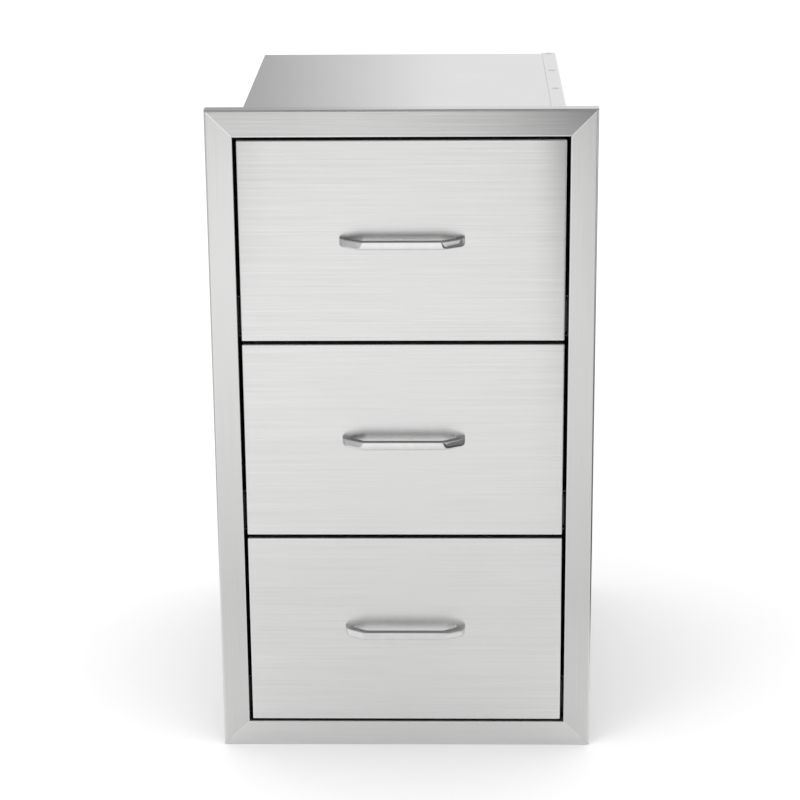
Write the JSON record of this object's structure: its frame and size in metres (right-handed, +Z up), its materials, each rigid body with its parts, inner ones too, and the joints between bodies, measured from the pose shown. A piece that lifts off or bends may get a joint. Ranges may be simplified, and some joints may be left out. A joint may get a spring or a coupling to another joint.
{
  "type": "outdoor kitchen drawer unit",
  "caption": "Built-in stainless drawer stack for an outdoor kitchen: mitred face frame, folded cabinet body, bow handles and full-extension ball-bearing slides.",
  "frame": {"origin": "under the middle of the whole unit, handles included, level with the bottom edge of the face frame", "axes": "+Z up, +X to the right seen from the front, the drawers face and open towards -Y"},
  "size_m": [0.4064, 0.493, 0.7184],
  "materials": {
    "brushed_steel": "stainless steel with a fine straight brushed grain",
    "plain_steel": "plain milled stainless sheet, dull",
    "polished_steel": "mirror polished",
    "zinc_plate": "bright zinc plate",
    "cage_steel": "zinc plated cage with polished balls"
  },
  "bodies": {
    "cabinet": {"frame_top_rail": "brushed_steel", "frame_bottom_rail": "brushed_steel", "frame_left_stile": "brushed_steel", "frame_right_stile": "brushed_steel", "left_side_and_top_sheet": "brushed_steel", "right_side_and_bottom_sheet": "brushed_steel", "back_panel": "plain_steel", "bottom_left_slide_cabinet_member": "zinc_plate", "bottom_right_slide_cabinet_member": "zinc_plate", "middle_left_slide_cabinet_member": "zinc_plate", "middle_right_slide_cabinet_member": "zinc_plate", "top_left_slide_cabinet_member": "zinc_plate", "top_right_slide_cabinet_member": "zinc_plate"},
    "bottom_left_slide_intermediate_member_body": {"bottom_left_slide_intermediate_member": "zinc_plate"},
    "bottom_left_slide_outer_ball_cage_body": {"bottom_left_slide_outer_ball_cage": "cage_steel"},
    "bottom_left_slide_inner_ball_cage_body": {"bottom_left_slide_inner_ball_cage": "cage_steel"},
    "bottom_right_slide_intermediate_member_body": {"bottom_right_slide_intermediate_member": "zinc_plate"},
    "bottom_right_slide_outer_ball_cage_body": {"bottom_right_slide_outer_ball_cage": "cage_steel"},
    "bottom_right_slide_inner_ball_cage_body": {"bottom_right_slide_inner_ball_cage": "cage_steel"},
    "bottom_drawer": {"bottom_drawer_front": "brushed_steel", "bottom_drawer_front_liner": "plain_steel", "bottom_drawer_tub": "plain_steel", "bottom_handle": "polished_steel", "bottom_handle_screw_left": "zinc_plate", "bottom_handle_screw_right": "zinc_plate", "bottom_left_slide_drawer_member": "zinc_plate", "bottom_right_slide_drawer_member": "zinc_plate"},
    "middle_left_slide_intermediate_member_body": {"middle_left_slide_intermediate_member": "zinc_plate"},
    "middle_left_slide_outer_ball_cage_body": {"middle_left_slide_outer_ball_cage": "cage_steel"},
    "middle_left_slide_inner_ball_cage_body": {"middle_left_slide_inner_ball_cage": "cage_steel"},
    "middle_right_slide_intermediate_member_body": {"middle_right_slide_intermediate_member": "zinc_plate"},
    "middle_right_slide_outer_ball_cage_body": {"middle_right_slide_outer_ball_cage": "cage_steel"},
    "middle_right_slide_inner_ball_cage_body": {"middle_right_slide_inner_ball_cage": "cage_steel"},
    "middle_drawer": {"middle_drawer_front": "brushed_steel", "middle_drawer_front_liner": "plain_steel", "middle_drawer_tub": "plain_steel", "middle_handle": "polished_steel", "middle_handle_screw_left": "zinc_plate", "middle_handle_screw_right": "zinc_plate", "middle_left_slide_drawer_member": "zinc_plate", "middle_right_slide_drawer_member": "zinc_plate"},
    "top_left_slide_intermediate_member_body": {"top_left_slide_intermediate_member": "zinc_plate"},
    "top_left_slide_outer_ball_cage_body": {"top_left_slide_outer_ball_cage": "cage_steel"},
    "top_left_slide_inner_ball_cage_body": {"top_left_slide_inner_ball_cage": "cage_steel"},
    "top_right_slide_intermediate_member_body": {"top_right_slide_intermediate_member": "zinc_plate"},
    "top_right_slide_outer_ball_cage_body": {"top_right_slide_outer_ball_cage": "cage_steel"},
    "top_right_slide_inner_ball_cage_body": {"top_right_slide_inner_ball_cage": "cage_steel"},
    "top_drawer": {"top_drawer_front": "brushed_steel", "top_drawer_front_liner": "plain_steel", "top_drawer_tub": "plain_steel", "top_handle": "polished_steel", "top_handle_screw_left": "zinc_plate", "top_handle_screw_right": "zinc_plate", "top_left_slide_drawer_member": "zinc_plate", "top_right_slide_drawer_member": "zinc_plate"}
  },
  "joints": [
    {"name": "bottom_drawer_travel", "type": "slide", "parent": "cabinet", "child": "bottom_drawer", "axis": [0, -1, 0], "range_m": [0, 0.45]},
    {"name": "bottom_left_slide_intermediate_member_travel", "type": "slide", "parent": "cabinet", "child": "bottom_left_slide_intermediate_member_body", "axis": [0, -1, 0], "range_m": [0, 0.225]},
    {"name": "bottom_left_slide_outer_ball_cage_travel", "type": "slide", "parent": "cabinet", "child": "bottom_left_slide_outer_ball_cage_body", "axis": [0, -1, 0], "range_m": [0, 0.1125]},
    {"name": "bottom_left_slide_inner_ball_cage_travel", "type": "slide", "parent": "cabinet", "child": "bottom_left_slide_inner_ball_cage_body", "axis": [0, -1, 0], "range_m": [0, 0.3375]},
    {"name": "bottom_right_slide_intermediate_member_travel", "type": "slide", "parent": "cabinet", "child": "bottom_right_slide_intermediate_member_body", "axis": [0, -1, 0], "range_m": [0, 0.225]},
    {"name": "bottom_right_slide_outer_ball_cage_travel", "type": "slide", "parent": "cabinet", "child": "bottom_right_slide_outer_ball_cage_body", "axis": [0, -1, 0], "range_m": [0, 0.1125]},
    {"name": "bottom_right_slide_inner_ball_cage_travel", "type": "slide", "parent": "cabinet", "child": "bottom_right_slide_inner_ball_cage_body", "axis": [0, -1, 0], "range_m": [0, 0.3375]},
    {"name": "middle_drawer_travel", "type": "slide", "parent": "cabinet", "child": "middle_drawer", "axis": [0, -1, 0], "range_m": [0, 0.45]},
    {"name": "middle_left_slide_intermediate_member_travel", "type": "slide", "parent": "cabinet", "child": "middle_left_slide_intermediate_member_body", "axis": [0, -1, 0], "range_m": [0, 0.225]},
    {"name": "middle_left_slide_outer_ball_cage_travel", "type": "slide", "parent": "cabinet", "child": "middle_left_slide_outer_ball_cage_body", "axis": [0, -1, 0], "range_m": [0, 0.1125]},
    {"name": "middle_left_slide_inner_ball_cage_travel", "type": "slide", "parent": "cabinet", "child": "middle_left_slide_inner_ball_cage_body", "axis": [0, -1, 0], "range_m": [0, 0.3375]},
    {"name": "middle_right_slide_intermediate_member_travel", "type": "slide", "parent": "cabinet", "child": "middle_right_slide_intermediate_member_body", "axis": [0, -1, 0], "range_m": [0, 0.225]},
    {"name": "middle_right_slide_outer_ball_cage_travel", "type": "slide", "parent": "cabinet", "child": "middle_right_slide_outer_ball_cage_body", "axis": [0, -1, 0], "range_m": [0, 0.1125]},
    {"name": "middle_right_slide_inner_ball_cage_travel", "type": "slide", "parent": "cabinet", "child": "middle_right_slide_inner_ball_cage_body", "axis": [0, -1, 0], "range_m": [0, 0.3375]},
    {"name": "top_drawer_travel", "type": "slide", "parent": "cabinet", "child": "top_drawer", "axis": [0, -1, 0], "range_m": [0, 0.45]},
    {"name": "top_left_slide_intermediate_member_travel", "type": "slide", "parent": "cabinet", "child": "top_left_slide_intermediate_member_body", "axis": [0, -1, 0], "range_m": [0, 0.225]},
    {"name": "top_left_slide_outer_ball_cage_travel", "type": "slide", "parent": "cabinet", "child": "top_left_slide_outer_ball_cage_body", "axis": [0, -1, 0], "range_m": [0, 0.1125]},
    {"name": "top_left_slide_inner_ball_cage_travel", "type": "slide", "parent": "cabinet", "child": "top_left_slide_inner_ball_cage_body", "axis": [0, -1, 0], "range_m": [0, 0.3375]},
    {"name": "top_right_slide_intermediate_member_travel", "type": "slide", "parent": "cabinet", "child": "top_right_slide_intermediate_member_body", "axis": [0, -1, 0], "range_m": [0, 0.225]},
    {"name": "top_right_slide_outer_ball_cage_travel", "type": "slide", "parent": "cabinet", "child": "top_right_slide_outer_ball_cage_body", "axis": [0, -1, 0], "range_m": [0, 0.1125]},
    {"name": "top_right_slide_inner_ball_cage_travel", "type": "slide", "parent": "cabinet", "child": "top_right_slide_inner_ball_cage_body", "axis": [0, -1, 0], "range_m": [0, 0.3375]}
  ],
  "couplings": [
    {"joint": "bottom_left_slide_intermediate_member_travel", "follows": "bottom_drawer_travel", "ratio": 0.5},
    {"joint": "bottom_left_slide_outer_ball_cage_travel", "follows": "bottom_drawer_travel", "ratio": 0.25},
    {"joint": "bottom_left_slide_inner_ball_cage_travel", "follows": "bottom_drawer_travel", "ratio": 0.75},
    {"joint": "bottom_right_slide_intermediate_member_travel", "follows": "bottom_drawer_travel", "ratio": 0.5},
    {"joint": "bottom_right_slide_outer_ball_cage_travel", "follows": "bottom_drawer_travel", "ratio": 0.25},
    {"joint": "bottom_right_slide_inner_ball_cage_travel", "follows": "bottom_drawer_travel", "ratio": 0.75},
    {"joint": "middle_left_slide_intermediate_member_travel", "follows": "middle_drawer_travel", "ratio": 0.5},
    {"joint": "middle_left_slide_outer_ball_cage_travel", "follows": "middle_drawer_travel", "ratio": 0.25},
    {"joint": "middle_left_slide_inner_ball_cage_travel", "follows": "middle_drawer_travel", "ratio": 0.75},
    {"joint": "middle_right_slide_intermediate_member_travel", "follows": "middle_drawer_travel", "ratio": 0.5},
    {"joint": "middle_right_slide_outer_ball_cage_travel", "follows": "middle_drawer_travel", "ratio": 0.25},
    {"joint": "middle_right_slide_inner_ball_cage_travel", "follows": "middle_drawer_travel", "ratio": 0.75},
    {"joint": "top_left_slide_intermediate_member_travel", "follows": "top_drawer_travel", "ratio": 0.5},
    {"joint": "top_left_slide_outer_ball_cage_travel", "follows": "top_drawer_travel", "ratio": 0.25},
    {"joint": "top_left_slide_inner_ball_cage_travel", "follows": "top_drawer_travel", "ratio": 0.75},
    {"joint": "top_right_slide_intermediate_member_travel", "follows": "top_drawer_travel", "ratio": 0.5},
    {"joint": "top_right_slide_outer_ball_cage_travel", "follows": "top_drawer_travel", "ratio": 0.25},
    {"joint": "top_right_slide_inner_ball_cage_travel", "follows": "top_drawer_travel", "ratio": 0.75}
  ]
}
